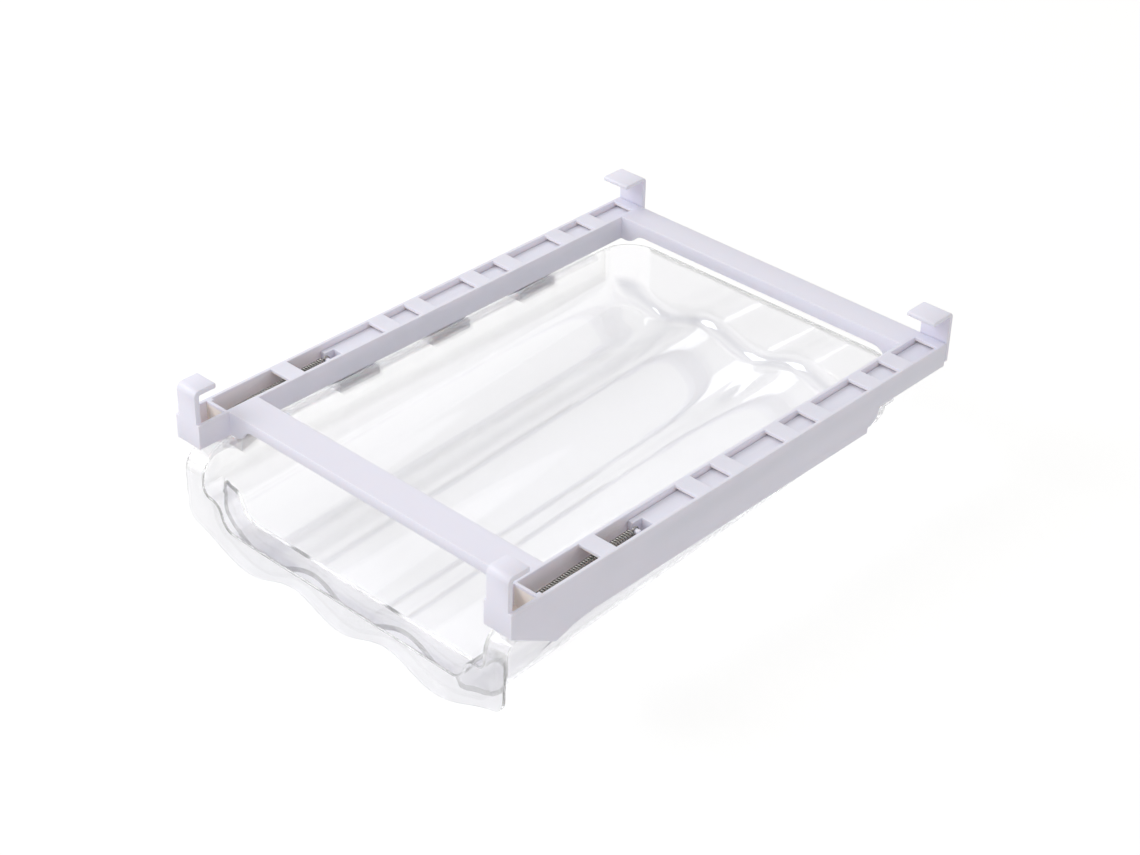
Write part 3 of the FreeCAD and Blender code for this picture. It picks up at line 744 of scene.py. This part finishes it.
SPRING_LIFT = 2.9 * MM
COIL_DIAMETER = 4.2 * MM
NECK = 0.9 * MM
END_TURN = 0.25
TURN_POINTS = 14
LOOP_TURN = math.radians(300)
LOOP_POINTS = 40
LEAD_POINTS = 12
LEAD_PULL = 1.6
SECTION_POINTS = 8


def bent(start, leave, end, arrive):
    """The points between start and end of a cubic that leaves and arrives along two vectors."""
    t = np.linspace(0, 1, LEAD_POINTS)[1:-1, None]
    return ((2 * t ** 3 - 3 * t ** 2 + 1) * start + (t ** 3 - 2 * t ** 2 + t) * leave
            + (3 * t ** 2 - 2 * t ** 3) * end + (t ** 3 - t ** 2) * arrive)


def spring_wire(s, shift):
    """The wire of one extension spring, and the coil's two ends: front loop, close coil and
    rear loop.

    The coil is a helix p(a) = centre + r (cos a, sin a) + pitch a / 2 pi along the axis. Each
    loop is most of a circle of the same radius, joined by a short cubic. The wire's round
    section stands on the curve's tangent and on the direction away from the axis or loop centre.
    """
    middle = (anchor_low + anchor_high) / 2
    front = np.array([middle.x, middle.y, anchor_low.z + SPRING_LIFT])
    bar = (bar_low + bar_high) / 2
    rear = np.array([middle.x, bar.y, bar.z])
    radius = (COIL_DIAMETER - s.wire) / 2
    way = rear - front
    length = np.linalg.norm(way)
    way /= length
    first = np.array([1.0, 0, 0])
    second = np.cross(way, first)
    near, far = radius + NECK, length - radius - NECK
    turns = round((far - near) / s.pitch) + END_TURN
    angle = np.linspace(0, 2 * math.pi * turns, int(TURN_POINTS * turns))
    along = near + (far - near) * angle / angle[-1]
    axis = front + way * along[:, None]
    coil = axis + radius * (np.cos(angle)[:, None] * first + np.sin(angle)[:, None] * second)
    loop = np.linspace(0, LOOP_TURN, LOOP_POINTS)[:, None]
    front_loop = front + radius * (np.cos(loop) * first - np.sin(loop) * way)
    rear_loop = rear + radius * (np.cos(loop) * second + np.sin(loop) * way)
    pull = radius * LEAD_PULL
    lead_in = bent(front_loop[0], pull * way, coil[0], pull * second)
    lead_out = bent(coil[-1], -pull * first, rear_loop[0], pull * way)
    path = np.concatenate([front_loop[::-1], lead_in, coil, lead_out, rear_loop])
    share = np.linspace(0, 1, LEAD_POINTS)[1:-1, None]
    centres = np.concatenate([
        np.broadcast_to(front, front_loop.shape), front + (axis[0] - front) * share, axis,
        axis[-1] + (rear - axis[-1]) * share, np.broadcast_to(rear, rear_loop.shape)])
    tangent = unit(np.gradient(path, axis=0))
    away = path - centres
    away = unit(away - np.sum(away * tangent, 1, keepdims=True) * tangent)
    across = np.cross(tangent, away)
    around = np.linspace(0, 2 * math.pi, SECTION_POINTS + 1)[:-1, None]
    rings = path[:, None] + s.wire / 2 * (
        np.cos(around) * away[:, None] + np.sin(around) * across[:, None])
    return Skin().tube(rings + np.array([shift, 0, 0])), axis[0], axis[-1]


# ---- shader groups and materials

# Places of the frame's painted light: deep in the channels and on the guide ledges.
CHANNEL_GAP = 0.2 * MM
CHANNEL_MIDDLE = (slider_low.x + slider_high.x) / 2
CHANNEL_HALF = (slider_high.x - slider_low.x) / 2 + CHANNEL_GAP
CHANNEL_FRONT = rail_low.y + 1 * MM
CHANNEL_FLOOR = rail_low.z + 0.5 * MM
CHANNEL_DEEP = -2 * MM
FLOOR_FADE = 0.5 * MM
MASK_EDGE = 0.3 * MM
LEDGE_MARGIN = 0.1 * MM
LEDGE_EDGE = 1 * MM

NOISE_LOW, NOISE_HIGH = 0.3, 0.7
MOTTLE = 0.97
SATIN_SMOOTHER, SATIN_ROUGHER = 0.05, 0.07
GRAIN_STRENGTH = 0.35
GLOW_COLOURS = (1, 0.75, 0.65)
GLOW_DEPTH = 4 * MM
CLEAR_IOR = 1.49
COAT_ROUGHNESS = 0.03
# Layer Weight facing at which the painted edge-on shade starts.
GRAZING_SHADE_FACING = 0.42
POLISH_SMOOTHER, POLISH_ROUGHER = 0.6, 1.6
POLISH_WAVE, POLISH_STRENGTH = 0.02 * MM, 0.2
WIRE_DARKER, WIRE_LIGHTER = 0.6, 1.5
WIRE_SMOOTH, WIRE_ROUGH = 0.22, 0.4
WIRE_GRAIN, WIRE_GRAIN_STRENGTH = 0.01 * MM, 0.3


def fill(tree, node, inputs):
    """Gives a node its inputs: a value that is a socket is linked, any other is set."""
    for name, value in inputs.items():
        if isinstance(value, bpy.types.NodeSocket):
            tree.links.new(value, node.inputs[name])
        else:
            node.inputs[name].default_value = value
    return node


def add_node(tree, kind, inputs=None, **options):
    """A new node with its options set and its inputs filled."""
    node = tree.nodes.new(kind)
    for name, value in options.items():
        setattr(node, name, value)
    return fill(tree, node, inputs or {})


def maths(tree, operation, *values):
    """A Math node on values that are sockets or numbers."""
    node = add_node(tree, "ShaderNodeMath", dict(enumerate(values)), operation=operation)
    return node.outputs[0]


def product(tree, *values):
    """The values multiplied by each other."""
    result = values[0]
    for value in values[1:]:
        result = maths(tree, "MULTIPLY", result, value)
    return result


def map_range(tree, value, start, end, low=0, high=1, kind="LINEAR"):
    """Goes from low to high as a value goes from start to end."""
    inputs = {"Value": value, "From Min": start, "From Max": end, "To Min": low, "To Max": high}
    node = add_node(tree, "ShaderNodeMapRange", inputs, interpolation_type=kind)
    return node.outputs["Result"]


def smooth_step(tree, value, start, end):
    """Goes smoothly from 0 to 1 as a value goes from start to end."""
    return map_range(tree, value, start, end, kind="SMOOTHSTEP")


def noise_range(tree, noise, low, high):
    """Goes from low to high over the values that noise mostly has."""
    return map_range(tree, noise, NOISE_LOW, NOISE_HIGH, low, high)


def colour_mix(tree, share, first, second):
    """Mixes two colours, each a socket or a plain colour, by the share given."""
    first, second = (
        end if isinstance(end, bpy.types.NodeSocket) else (*end, 1) for end in (first, second))
    mix = add_node(tree, "ShaderNodeMix", {0: share, 6: first, 7: second}, data_type="RGBA")
    return mix.outputs[2]


def times(colour, factor):
    """A colour made darker or lighter."""
    return tuple(factor * channel for channel in colour)


def bump(tree, height, distance, strength):
    """The normal of a surface that a height raises by up to the distance."""
    inputs = {"Height": height, "Distance": distance, "Strength": strength}
    return add_node(tree, "ShaderNodeBump", inputs).outputs["Normal"]


def marked(tree, name):
    """The value of one of the piece's own marks."""
    return add_node(tree, "ShaderNodeAttribute", attribute_name=name).outputs["Fac"]


def show_mixed(tree, share, first, second, output):
    """Shows a mix of two shaders by the share given."""
    inputs = {0: share, 1: first.outputs[0], 2: second.outputs[0]}
    choose = add_node(tree, "ShaderNodeMixShader", inputs)
    fill(tree, tree.nodes[output], {"Surface": choose.outputs[0]})


def new_group(name, inputs, outputs):
    """An empty shader node group with named float inputs and outputs."""
    tree = bpy.data.node_groups.new(name, "ShaderNodeTree")
    for way, labels in (("INPUT", inputs), ("OUTPUT", outputs)):
        for label in labels:
            tree.interface.new_socket(label, in_out=way, socket_type="NodeSocketFloat")
    return tree, tree.nodes.new("NodeGroupInput"), tree.nodes.new("NodeGroupOutput")


def moulded_surface():
    """Fine grain for bumps, and an uneven sheen as a mask, from noise on Object coordinates."""
    tree, given, put_out = new_group(
        "Moulded surface", ["Grain scale", "Sheen scale"], ["Grain", "Sheen"])
    place = add_node(tree, "ShaderNodeTexCoord").outputs["Object"]
    for name, detail in (("Grain", 2), ("Sheen", 4)):
        noise = add_node(tree, "ShaderNodeTexNoise", {
            "Vector": place, "Scale": given.outputs[name + " scale"], "Detail": detail})
        fill(tree, put_out, {name: noise.outputs["Fac"]})
    return tree


def frame_painted_light_masks():
    """Two masks on Object coordinates for painted light: deep in the rails' channels, and on the
    guide ledges.

    Depth is a smooth step down from the top plane times a smooth step in from the channel's
    walls, whose distance is measured from the middle of the channel on either side. Ledge is 1
    below the rails, inside the skirts and behind the first ledge's front end.
    """
    tree, _, put_out = new_group("Frame painted light masks", [], ["Depth", "Ledge"])
    place = add_node(tree, "ShaderNodeTexCoord").outputs["Object"]
    x, y, z = add_node(tree, "ShaderNodeSeparateXYZ", {0: place}).outputs
    side = maths(tree, "ABSOLUTE", x)
    away = maths(tree, "ABSOLUTE", maths(tree, "SUBTRACT", side, CHANNEL_MIDDLE))
    depth = product(
        tree,
        smooth_step(tree, away, CHANNEL_HALF + MASK_EDGE, CHANNEL_HALF - MASK_EDGE),
        smooth_step(tree, z, -MASK_EDGE, CHANNEL_DEEP),
        smooth_step(tree, z, CHANNEL_FLOOR, CHANNEL_FLOOR + FLOOR_FADE),
        smooth_step(tree, y, CHANNEL_FRONT - MASK_EDGE, CHANNEL_FRONT + MASK_EDGE))
    ledge = product(
        tree,
        smooth_step(tree, side, ledge_high.x + LEDGE_MARGIN, ledge_high.x - MASK_EDGE),
        smooth_step(tree, z, rail_low.z, rail_low.z - LEDGE_EDGE),
        smooth_step(tree, y, ledge_low.y - LEDGE_EDGE, ledge_low.y))
    fill(tree, put_out, {"Depth": depth, "Ledge": ledge})
    return tree


def shared_group(tree, name, build, inputs=None):
    """Places a shader group in a material. The group is built the first time."""
    group = bpy.data.node_groups.get(name) or build()
    return add_node(tree, "ShaderNodeGroup", inputs, node_tree=group).outputs


def surface_noise(tree, grain_scale, sheen_scale):
    """The moulded surface's grain and sheen at the two scales given."""
    return shared_group(tree, "Moulded surface", moulded_surface,
                        {"Grain scale": grain_scale, "Sheen scale": sheen_scale})


def blank_material(name):
    """A new material with its tree and its Principled BSDF."""
    material = bpy.data.materials.new(name)
    material.use_nodes = True
    tree = material.node_tree
    return material, tree, tree.nodes["Principled BSDF"]


def white_plastic(name, s, painted_channel_light):
    """Satin white moulding: a faint mottle, uneven sheen and fine grain. Warm light is painted into
    its colour deep in the channels, and a lighter colour is painted on the thin ledges.
    """
    material, tree, shader = blank_material(name)
    surface = surface_noise(tree, grain_scale=1800, sheen_scale=35)
    places = shared_group(tree, "Frame painted light masks", frame_painted_light_masks)
    colour = colour_mix(tree, surface["Sheen"], times(s.colour, MOTTLE), s.colour)
    # Painted warm light deep in the channels.
    colour = colour_mix(tree, places["Depth"], colour, painted_channel_light)
    # Painted light on the thin guide ledges.
    colour = colour_mix(tree, places["Ledge"], colour, s.ledge_painted_light)
    fill(tree, shader, {
        "Base Color": colour,
        "Roughness": noise_range(tree, surface["Sheen"], s.roughness - SATIN_SMOOTHER,
                                 s.roughness + SATIN_ROUGHER),
        "Normal": bump(tree, surface["Grain"], s.grain_depth, GRAIN_STRENGTH),
        "Subsurface Weight": s.translucency,
        "Subsurface Radius": GLOW_COLOURS,
        "Subsurface Scale": GLOW_DEPTH,
    })
    return material


def clear_plastic(s):
    """Clear polished moulding with painted shade: greyer where it is marked grey or seen along its
    face, and fainter where it is marked thin. Lamps shine through it, so that the inside isn't in
    shadow.
    """
    material, tree, shader = blank_material("Clear plastic")
    surface = surface_noise(tree, grain_scale=420, sheen_scale=22)
    # Painted shade: grey painted where faces are seen edge-on and where the mesh is marked grey.
    facing = add_node(tree, "ShaderNodeLayerWeight", {"Blend": 0.5}).outputs["Facing"]
    edge = smooth_step(tree, facing, GRAZING_SHADE_FACING, 1)
    grey = maths(tree, "MAXIMUM", edge, marked(tree, "grey"))
    fill(tree, shader, {
        "Base Color": colour_mix(tree, grey, s.tint, s.grazing_shade_tint),
        "Roughness": noise_range(tree, surface["Sheen"], s.gloss_roughness * POLISH_SMOOTHER,
                                 s.gloss_roughness * POLISH_ROUGHER),
        "Normal": bump(tree, surface["Sheen"], POLISH_WAVE, POLISH_STRENGTH),
        "Transmission Weight": 1,
        "IOR": CLEAR_IOR,
        "Alpha": map_range(tree, marked(tree, "thin"), 0, 1, s.body, s.thin_body),
        "Coat Weight": 1,
        "Coat Roughness": COAT_ROUGHNESS,
    })
    clear = add_node(tree, "ShaderNodeBsdfTransparent", {"Color": (*s.tint, 1)})
    path = add_node(tree, "ShaderNodeLightPath")
    show_mixed(tree, path.outputs["Is Shadow Ray"], shader, clear, "Material Output")
    return material


def spring_steel(s):
    """Drawn steel wire with a faint uneven shine."""
    material, tree, shader = blank_material("Spring steel")
    surface = surface_noise(tree, grain_scale=3000, sheen_scale=400)
    fill(tree, shader, {
        "Base Color": colour_mix(tree, surface["Sheen"], times(s.colour, WIRE_DARKER),
                                 times(s.colour, WIRE_LIGHTER)),
        "Metallic": 1,
        "Roughness": noise_range(tree, surface["Grain"], WIRE_SMOOTH, WIRE_ROUGH),
        "Normal": bump(tree, surface["Grain"], WIRE_GRAIN, WIRE_GRAIN_STRENGTH),
    })
    return material


# ---- stage

FLOOR_HALF = 6.0
FLOOR_GAP = 0.1 * MM
FLOOR_COLOUR = 0.8
FLOOR_SEEN_COLOUR = 0.3
FLOOR_GLOW = 0.76
WHITE = (1, 1, 1, 1)
SKY_COLOUR = (1, 0.985, 0.945, 1)
KEY_AT = Vector((-1.0, -0.78, 1.1))
KEY_SIZE = 0.9
KEY_COLOUR = (0.965, 0.98, 1)
CAMERA_AT = Vector((0.6068, -0.5522, 0.5653))
SENSOR_WIDTH = 36


def seen_directly(tree):
    """1 for rays that the camera sees directly, in a reflection or through the clear drawer."""
    path = add_node(tree, "ShaderNodeLightPath").outputs
    seen = maths(tree, "MAXIMUM", path["Is Camera Ray"], path["Is Glossy Ray"])
    return maths(tree, "MAXIMUM", seen, path["Is Transmission Ray"])


def build_floor():
    """A plain white floor that takes the object's shadow."""
    level = CAD_BOX[0].z - FLOOR_GAP
    corners = [(x * FLOOR_HALF, y * FLOOR_HALF, level)
               for x, y in ((-1, -1), (1, -1), (1, 1), (-1, 1))]
    mesh = bpy.data.meshes.new("floor")
    mesh.from_pydata(corners, [], [(0, 1, 2, 3)])
    floor = placed("floor", mesh)
    material, tree, shader = blank_material("White floor")
    seen = seen_directly(tree)
    fill(tree, shader, {
        "Base Color": colour_mix(tree, seen, (FLOOR_COLOUR,) * 3, (FLOOR_SEEN_COLOUR,) * 3),
        "Roughness": 1,
        "Specular IOR Level": 0,
        "Emission Color": WHITE,
        "Emission Strength": maths(tree, "MULTIPLY", seen, FLOOR_GLOW),
    })
    mesh.materials.append(material)


def build_sky(s):
    """A white sky: plain to the camera, softer as light."""
    world = bpy.data.worlds.new("Studio")
    world.use_nodes = True
    tree = world.node_tree
    light = fill(tree, tree.nodes["Background"], {"Color": SKY_COLOUR, "Strength": s.sky})
    seen = add_node(tree, "ShaderNodeBackground", {"Color": WHITE})
    show_mixed(tree, seen_directly(tree), light, seen, "World Output")
    bpy.context.scene.world = world


def build_key_lamp(s):
    """A square lamp that looks at the origin."""
    lamp = bpy.data.lights.new("key", "AREA")
    lamp.size = KEY_SIZE
    lamp.energy = s.key
    lamp.color = KEY_COLOUR
    holder = placed("key", lamp)
    holder.location = KEY_AT
    holder.rotation_euler = KEY_AT.to_track_quat("Z", "Y").to_euler()


def build_camera(s):
    """The camera looks along minus the back vector (sin a cos e, -cos a cos e, sin e)."""
    turn, height, roll = s.camera_turn, s.camera_height, s.camera_roll
    back = Vector((math.sin(turn) * math.cos(height), -math.cos(turn) * math.cos(height),
                   math.sin(height)))
    right = Vector((math.cos(turn), math.sin(turn), 0))
    up = back.cross(right)
    tilted_right = math.cos(roll) * right + math.sin(roll) * up
    tilted_up = math.cos(roll) * up - math.sin(roll) * right
    lens = bpy.data.cameras.new("camera")
    lens.lens = s.lens
    lens.sensor_width = SENSOR_WIDTH
    camera = placed("camera", lens)
    turned = Matrix((tilted_right, tilted_up, back)).transposed().to_4x4()
    camera.matrix_world = Matrix.Translation(CAMERA_AT) @ turned
    bpy.context.scene.camera = camera


# ---- operators

class DRAWER_OT_frame(Operator):
    """Finish the white frame moulding"""

    bl_idname = "drawer.build_frame"
    bl_label = "Build Frame"

    def execute(self, context):
        s = context.scene.drawer_moulding
        material = white_plastic("Frame plastic", s, s.channel_painted_light)
        soft_moulding("frame_moulding", FRAME_NODES, s.edge_round, material, "frame")
        return {"FINISHED"}


class DRAWER_OT_sliders(Operator):
    """Finish the two white sliders with their hooks"""

    bl_idname = "drawer.build_sliders"
    bl_label = "Build Sliders"

    def execute(self, context):
        s = context.scene.drawer_moulding
        material = white_plastic("Slider plastic", s, s.colour)
        for side in ("left_", "right_"):
            soft_moulding(side + "slider_moulding", [side + node for node in SLIDER_NODES],
                          s.edge_round, material, side + "slider")
        return {"FINISHED"}


class DRAWER_OT_springs(Operator):
    """Wind the two steel springs"""

    bl_idname = "drawer.build_springs"
    bl_label = "Build Springs"

    def execute(self, context):
        s = context.scene.drawer_springs
        material = spring_steel(s)
        middle = (anchor_low.x + anchor_high.x) / 2
        for side, shift in (("right", 0), ("left", -2 * middle)):
            skin, start, end = spring_wire(s, shift)
            spring = skin.make(side + "_spring_wire")
            smooth_faces(spring.data)
            spring.data.materials.append(material)
            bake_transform(spring)
            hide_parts(side + "_spring")
        return {"FINISHED"}


class DRAWER_OT_clear_drawer(Operator):
    """Build the clear drawer as one shell"""

    bl_idname = "drawer.build_clear_drawer"
    bl_label = "Build Clear Drawer"

    def execute(self, context):
        s = context.scene.drawer_clear
        parts = [tray_body(s), front_wall(s), sill_step(s), apron_plate(s), cheek(s, 1),
                 cheek(s, -1), runner(s, 1), runner(s, -1)]
        drawer = union("clear_drawer", parts, CREASE)
        drawer.data.materials.clear()
        mark_painted_shade_and_thin(drawer.data, s)
        drawer.data.materials.append(clear_plastic(s))
        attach(drawer, "drawer")
        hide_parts(*DRAWER_NODES)
        return {"FINISHED"}


class DRAWER_OT_stage(Operator):
    """Set up the floor, the sky, the lamp and the camera"""

    bl_idname = "drawer.build_stage"
    bl_label = "Build Stage"

    def execute(self, context):
        s = context.scene.drawer_stage
        build_floor()
        build_sky(s)
        build_key_lamp(s)
        build_camera(s)
        context.scene.view_settings.view_transform = "Standard"
        return {"FINISHED"}


# ---- panel and registration

class DRAWER_PT_panel(Panel):
    """Lists the build steps and their settings"""

    bl_label = "Drawer Organizer"
    bl_idname = "DRAWER_PT_panel"
    bl_space_type = "VIEW_3D"
    bl_region_type = "UI"
    bl_category = "Drawer"

    def draw(self, context):
        scene = context.scene
        for operator, settings in (
                ("drawer.build_frame", scene.drawer_moulding), ("drawer.build_sliders", None),
                ("drawer.build_springs", scene.drawer_springs),
                ("drawer.build_clear_drawer", scene.drawer_clear),
                ("drawer.build_stage", scene.drawer_stage)):
            box = self.layout.box()
            box.operator(operator)
            if settings is not None:
                for name in settings.__annotations__:
                    box.prop(settings, name)


SETTINGS = {
    "drawer_clear": DrawerSettings,
    "drawer_moulding": MouldingSettings,
    "drawer_springs": SpringSettings,
    "drawer_stage": StageSettings,
}
CLASSES = [
    *SETTINGS.values(), DRAWER_OT_frame, DRAWER_OT_sliders, DRAWER_OT_springs,
    DRAWER_OT_clear_drawer, DRAWER_OT_stage, DRAWER_PT_panel,
]


def register():
    for item in CLASSES:
        bpy.utils.register_class(item)
    for name, group in SETTINGS.items():
        setattr(bpy.types.Scene, name, PointerProperty(type=group))


def unregister():
    for name in SETTINGS:
        delattr(bpy.types.Scene, name)
    for item in reversed(CLASSES):
        bpy.utils.unregister_class(item)


def main():
    """Registers the add-on and builds every piece in order."""
    register()
    bpy.ops.drawer.build_frame()
    bpy.ops.drawer.build_sliders()
    bpy.ops.drawer.build_springs()
    bpy.ops.drawer.build_clear_drawer()
    bpy.ops.drawer.build_stage()


if __name__ == "__main__":
    main()
